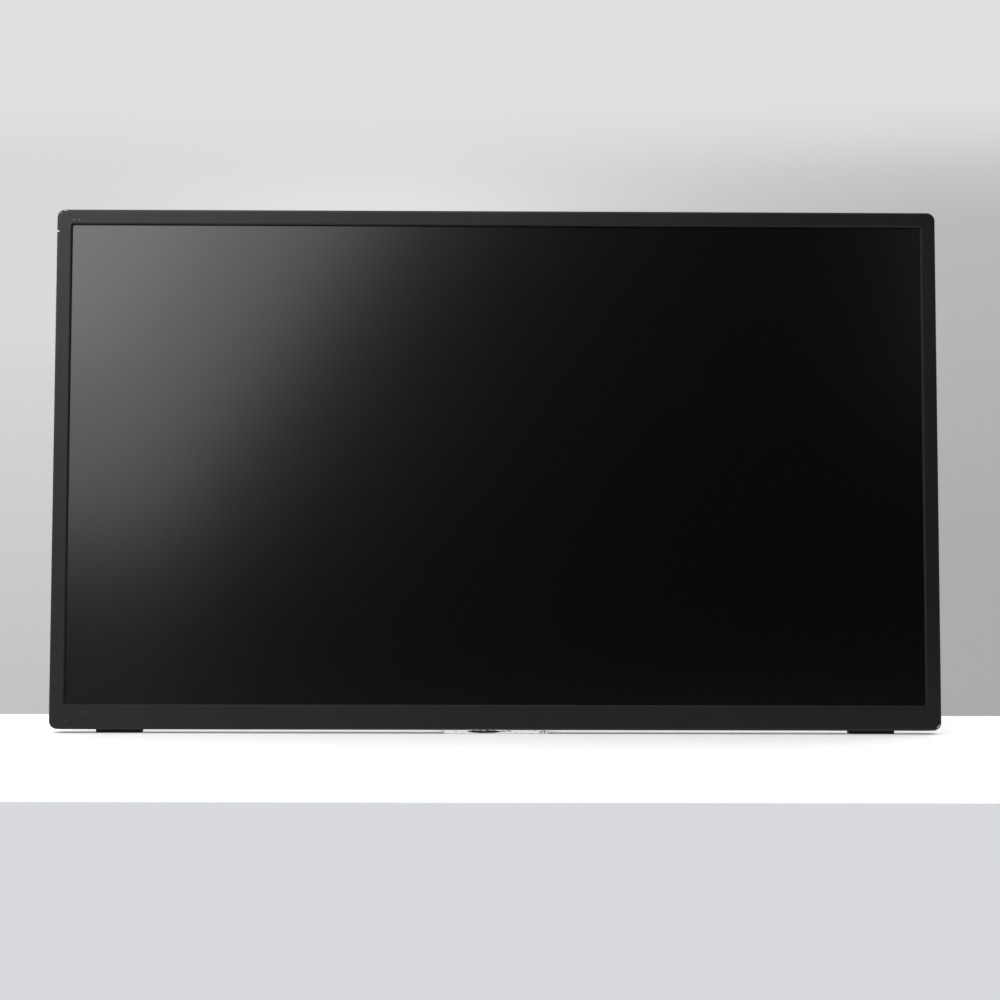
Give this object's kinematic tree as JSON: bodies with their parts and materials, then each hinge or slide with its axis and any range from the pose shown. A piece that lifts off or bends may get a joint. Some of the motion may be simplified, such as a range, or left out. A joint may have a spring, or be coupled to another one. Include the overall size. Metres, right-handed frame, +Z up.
{
  "type": "portable monitor",
  "caption": "Slim portable monitor with a matte screen, folding metal foot, rubber feet, edge keys and side sockets.",
  "frame": {"origin": "middle of the footprint on the surface that the monitor stands on", "axes": "+X to the right seen from the front, +Y to the back, +Z up. The screen faces -Y and leans back"},
  "size_m": [0.3579, 0.0975, 0.2116],
  "materials": {
    "housing_dark": "fine moulded grain, satin black",
    "screen_glass": "matte anti-glare film over a dark panel",
    "optical_film": "translucent white film",
    "light_guide_clear": "clear polished sheet",
    "panel_plastic": "white moulded frame",
    "panel_metal": "thin pressed sheet",
    "chassis_metal": "pressed plate, bare",
    "foam": "soft foam with an adhesive face",
    "flex": "amber film with copper tracks",
    "lead_black": "smooth insulated lead",
    "circuit_board": "solder-resist over fibre board",
    "board_parts": "moulded epoxy parts",
    "shield_steel": "tin-plated steel",
    "socket_steel": "formed steel shell",
    "jack_plastic": "moulded body",
    "screw_steel": "black zinc plating",
    "key_plastic": "satin moulded keys",
    "light_pipe": "clear rod",
    "speaker_plastic": "moulded box",
    "speaker_cone": "pressed cone",
    "foot_rubber": "matte moulded rubber",
    "hinge_polished": "polished steel",
    "shaft_steel": "turned steel",
    "foot_metal": "satin blasted, anodised"
  },
  "bodies": {
    "display": {"front_bezel": "housing_dark", "rear_cover": "housing_dark", "bezel_gasket": "foam", "lcd_cell": "screen_glass", "diffuser_sheet": "optical_film", "prism_sheet": "optical_film", "light_guide": "light_guide_clear", "reflector_sheet": "optical_film", "panel_frame": "panel_plastic", "led_light_bar": "board_parts", "backlight_tray": "panel_metal", "display_flex_tails": "flex", "source_board": "circuit_board", "mounting_tape": "foam", "chassis_plate": "chassis_metal", "insulation_sheets": "optical_film", "board_standoffs": "shield_steel", "main_board": "circuit_board", "board_components": "board_parts", "scaler_chip": "board_parts", "shield_can": "shield_steel", "board_screws": "shaft_steel", "usb_c_socket_upper": "socket_steel", "usb_c_socket_lower": "socket_steel", "hdmi_socket": "socket_steel", "audio_jack": "jack_plastic", "panel_lead": "lead_black", "speaker_lead_left": "lead_black", "speaker_lead_right": "lead_black", "key_ribbon": "flex", "key_board": "circuit_board", "key_switches": "board_parts", "power_light_pipe": "light_pipe", "speaker_box_left": "speaker_plastic", "speaker_box_right": "speaker_plastic", "speaker_driver_left": "speaker_cone", "speaker_driver_right": "speaker_cone", "speaker_gaskets": "foam", "speaker_screws": "shaft_steel", "rear_cover_screws": "screw_steel", "hinge_screws": "shaft_steel", "rubber_foot_left": "foot_rubber", "rubber_foot_right": "foot_rubber", "hinge_saddle": "hinge_polished"},
    "foot": {"foot_plate": "foot_metal", "foot_pads": "foot_rubber", "hinge_shaft": "shaft_steel", "hinge_nut": "shaft_steel", "hinge_washers": "shaft_steel"},
    "power_button": {"power_key": "key_plastic", "power_plunger": "board_parts"},
    "menu_button": {"menu_key": "key_plastic", "menu_plunger": "board_parts"},
    "up_button": {"up_key": "key_plastic", "up_plunger": "board_parts"},
    "down_button": {"down_key": "key_plastic", "down_plunger": "board_parts"}
  },
  "joints": [
    {"name": "foot_hinge", "type": "hinge", "parent": "display", "child": "foot", "pos_m": [0, -0.03925, 0.004], "axis": [1, 0, 0], "range_deg": [0, 85.5]},
    {"name": "power_press", "type": "slide", "parent": "display", "child": "power_button", "axis": [-1, 0, 0], "range_m": [0, 0.00035], "stiffness_N_per_m": 1200},
    {"name": "menu_press", "type": "slide", "parent": "display", "child": "menu_button", "axis": [-1, 0, 0], "range_m": [0, 0.00035], "stiffness_N_per_m": 1200},
    {"name": "up_press", "type": "slide", "parent": "display", "child": "up_button", "axis": [-1, 0, 0], "range_m": [0, 0.00035], "stiffness_N_per_m": 1200},
    {"name": "down_press", "type": "slide", "parent": "display", "child": "down_button", "axis": [-1, 0, 0], "range_m": [0, 0.00035], "stiffness_N_per_m": 1200}
  ]
}
